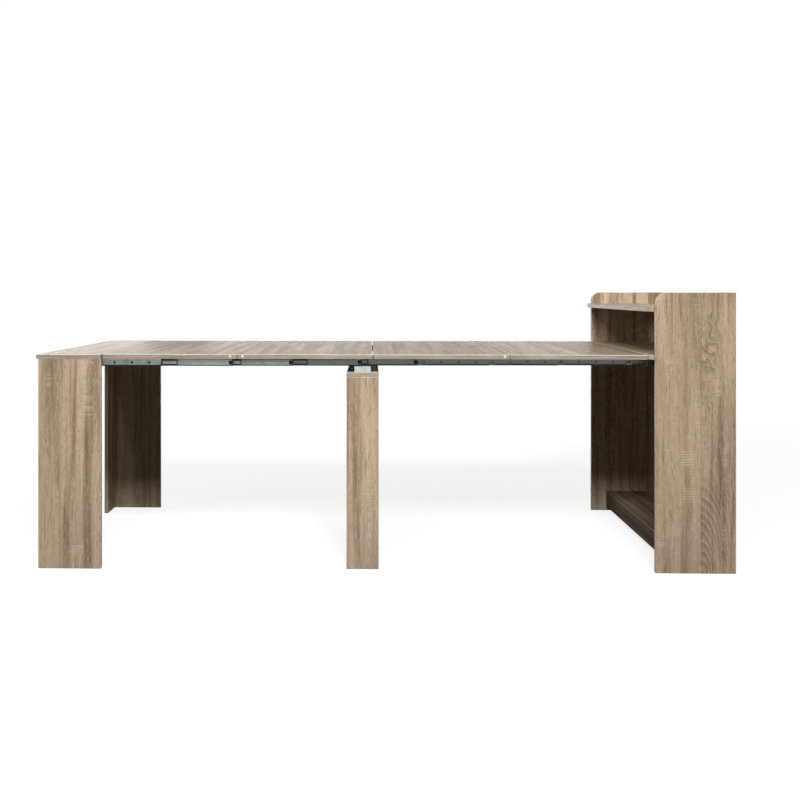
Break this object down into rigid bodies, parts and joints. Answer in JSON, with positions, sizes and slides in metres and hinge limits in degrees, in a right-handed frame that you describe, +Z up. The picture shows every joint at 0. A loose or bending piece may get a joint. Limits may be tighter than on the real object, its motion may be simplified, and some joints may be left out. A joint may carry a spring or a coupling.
{
  "type": "extending dining table",
  "caption": "Extending dining table with a sideboard cabinet at one end, laid leaves, an end frame, a middle leg and telescopic ball runners.",
  "frame": {"origin": "on the floor under the middle of the whole open table", "axes": "+X along the table to the cabinet, +Y across the table to the far side, +Z up"},
  "size_m": [2.459, 0.9, 0.98],
  "materials": {
    "oak_panel": "taupe rough-sawn oak decor, matt",
    "oak_leaf": "taupe rough-sawn oak decor, matt",
    "birch": "raw timber",
    "runner_steel": "zinc-plated",
    "cage_steel": "bright zinc",
    "screw_steel": "zinc-plated",
    "black_plastic": "moulded",
    "pale_plastic": "moulded"
  },
  "bodies": {
    "cabinet": {"near_side_panel": "oak_panel", "far_side_panel": "oak_panel", "back_panel": "oak_panel", "fixed_board": "oak_panel", "top_shelf": "oak_panel", "bottom_board": "oak_panel", "plinth_board": "oak_panel", "near_batten": "birch", "far_batten": "birch", "cabinet_dowels": "birch", "batten_screws": "screw_steel", "near_runner_i": "runner_steel", "far_runner_i": "runner_steel"},
    "end_frame": {"end_board": "oak_panel", "near_leg_face": "oak_panel", "far_leg_face": "oak_panel", "near_leg_return": "oak_panel", "far_leg_return": "oak_panel", "end_apron": "oak_panel", "end_frame_dowels": "birch", "end_frame_screws": "screw_steel", "near_runner_a": "runner_steel", "far_runner_a": "runner_steel"},
    "middle_leg": {"bridge_board": "oak_panel", "near_post_face": "oak_panel", "far_post_face": "oak_panel", "near_post_cheeks": "oak_panel", "far_post_cheeks": "oak_panel", "spacer_blocks": "pale_plastic", "middle_leg_dowels": "birch", "near_runner_e": "runner_steel", "far_runner_e": "runner_steel", "stops_e": "black_plastic"},
    "stage_b": {"near_runner_b": "runner_steel", "far_runner_b": "runner_steel", "stops_b": "black_plastic"},
    "stage_c": {"near_runner_c": "runner_steel", "far_runner_c": "runner_steel", "stops_c": "black_plastic"},
    "stage_d": {"near_runner_d": "runner_steel", "far_runner_d": "runner_steel", "stops_d": "black_plastic"},
    "stage_f": {"near_runner_f": "runner_steel", "far_runner_f": "runner_steel"},
    "stage_g": {"near_runner_g": "runner_steel", "far_runner_g": "runner_steel"},
    "stage_h": {"near_runner_h": "runner_steel", "far_runner_h": "runner_steel"},
    "cages_1": {"ball_cages_1": "cage_steel"},
    "cages_2": {"ball_cages_2": "cage_steel"},
    "cages_3": {"ball_cages_3": "cage_steel"},
    "cages_4": {"ball_cages_4": "cage_steel"},
    "cages_5": {"ball_cages_5": "cage_steel"},
    "cages_6": {"ball_cages_6": "cage_steel"},
    "cages_7": {"ball_cages_7": "cage_steel"},
    "cages_8": {"ball_cages_8": "cage_steel"},
    "leaf_1_board": {"leaf_1": "oak_leaf"},
    "leaf_2_board": {"leaf_2": "oak_leaf"},
    "leaf_3_board": {"leaf_3": "oak_leaf"},
    "leaf_4_board": {"leaf_4": "oak_leaf"}
  },
  "joints": [
    {"name": "end_frame_slide", "type": "slide", "parent": "cabinet", "child": "end_frame", "axis": [-1, 0, 0], "range_m": [0, 0.08]},
    {"name": "middle_leg_slide", "type": "slide", "parent": "cabinet", "child": "middle_leg", "axis": [-1, 0, 0], "range_m": [0, 0.0433]},
    {"name": "stage_b_slide", "type": "slide", "parent": "cabinet", "child": "stage_b", "axis": [-1, 0, 0], "range_m": [0, 0.0718]},
    {"name": "stage_c_slide", "type": "slide", "parent": "cabinet", "child": "stage_c", "axis": [-1, 0, 0], "range_m": [0, 0.063]},
    {"name": "stage_d_slide", "type": "slide", "parent": "cabinet", "child": "stage_d", "axis": [-1, 0, 0], "range_m": [0, 0.0528]},
    {"name": "stage_f_slide", "type": "slide", "parent": "cabinet", "child": "stage_f", "axis": [-1, 0, 0], "range_m": [0, 0.034]},
    {"name": "stage_g_slide", "type": "slide", "parent": "cabinet", "child": "stage_g", "axis": [-1, 0, 0], "range_m": [0, 0.0238]},
    {"name": "stage_h_slide", "type": "slide", "parent": "cabinet", "child": "stage_h", "axis": [-1, 0, 0], "range_m": [0, 0.0136]},
    {"name": "cages_1_slide", "type": "slide", "parent": "cabinet", "child": "cages_1", "axis": [-1, 0, 0], "range_m": [0, 0.0764]},
    {"name": "cages_2_slide", "type": "slide", "parent": "cabinet", "child": "cages_2", "axis": [-1, 0, 0], "range_m": [0, 0.0674]},
    {"name": "cages_3_slide", "type": "slide", "parent": "cabinet", "child": "cages_3", "axis": [-1, 0, 0], "range_m": [0, 0.0579]},
    {"name": "cages_4_slide", "type": "slide", "parent": "cabinet", "child": "cages_4", "axis": [-1, 0, 0], "range_m": [0, 0.048]},
    {"name": "cages_5_slide", "type": "slide", "parent": "cabinet", "child": "cages_5", "axis": [-1, 0, 0], "range_m": [0, 0.0386]},
    {"name": "cages_6_slide", "type": "slide", "parent": "cabinet", "child": "cages_6", "axis": [-1, 0, 0], "range_m": [0, 0.0289]},
    {"name": "cages_7_slide", "type": "slide", "parent": "cabinet", "child": "cages_7", "axis": [-1, 0, 0], "range_m": [0, 0.0187]},
    {"name": "cages_8_slide", "type": "slide", "parent": "cabinet", "child": "cages_8", "axis": [-1, 0, 0], "range_m": [0, 0.0073]},
    {"name": "leaf_1_lift", "type": "slide", "parent": "cabinet", "child": "leaf_1_board", "axis": [0, 0, 1], "range_m": [0, 0.3]},
    {"name": "leaf_2_lift", "type": "slide", "parent": "cabinet", "child": "leaf_2_board", "axis": [0, 0, 1], "range_m": [0, 0.3]},
    {"name": "leaf_3_lift", "type": "slide", "parent": "cabinet", "child": "leaf_3_board", "axis": [0, 0, 1], "range_m": [0, 0.3]},
    {"name": "leaf_4_lift", "type": "slide", "parent": "cabinet", "child": "leaf_4_board", "axis": [0, 0, 1], "range_m": [0, 0.3]}
  ],
  "couplings": [
    {"joint": "middle_leg_slide", "follows": "end_frame_slide", "ratio": 0.5285},
    {"joint": "stage_b_slide", "follows": "end_frame_slide", "ratio": 0.88497},
    {"joint": "stage_c_slide", "follows": "end_frame_slide", "ratio": 0.77461},
    {"joint": "stage_d_slide", "follows": "end_frame_slide", "ratio": 0.64767},
    {"joint": "stage_f_slide", "follows": "end_frame_slide", "ratio": 0.41244},
    {"joint": "stage_g_slide", "follows": "end_frame_slide", "ratio": 0.28446},
    {"joint": "stage_h_slide", "follows": "end_frame_slide", "ratio": 0.15751},
    {"joint": "cages_1_slide", "follows": "end_frame_slide", "ratio": 0.94249},
    {"joint": "cages_2_slide", "follows": "end_frame_slide", "ratio": 0.82979},
    {"joint": "cages_3_slide", "follows": "end_frame_slide", "ratio": 0.71114},
    {"joint": "cages_4_slide", "follows": "end_frame_slide", "ratio": 0.58808},
    {"joint": "cages_5_slide", "follows": "end_frame_slide", "ratio": 0.47047},
    {"joint": "cages_6_slide", "follows": "end_frame_slide", "ratio": 0.34845},
    {"joint": "cages_7_slide", "follows": "end_frame_slide", "ratio": 0.22098},
    {"joint": "cages_8_slide", "follows": "end_frame_slide", "ratio": 0.07876}
  ]
}
